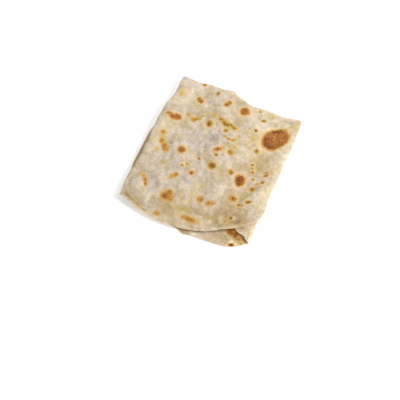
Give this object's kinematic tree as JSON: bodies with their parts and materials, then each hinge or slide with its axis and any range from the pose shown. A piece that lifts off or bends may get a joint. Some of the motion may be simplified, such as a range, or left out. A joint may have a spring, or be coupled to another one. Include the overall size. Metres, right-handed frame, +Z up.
{
  "type": "rumali roti",
  "caption": "Thin soft wheat flatbread with browned spots, its sides folded in and then folded across into a flat rectangular packet with a rounded open rim.",
  "frame": {"origin": "middle of the folded packet's length and width, on the surface that it lies on", "axes": "+Z up, +Y towards the cross fold, +X across the packet towards its right side fold"},
  "size_m": [0.1474, 0.1784, 0.013],
  "materials": {
    "bread": "matt baked dough with brown spots"
  },
  "bodies": {
    "root": {"roti": "bread"}
  },
  "joints": []
}
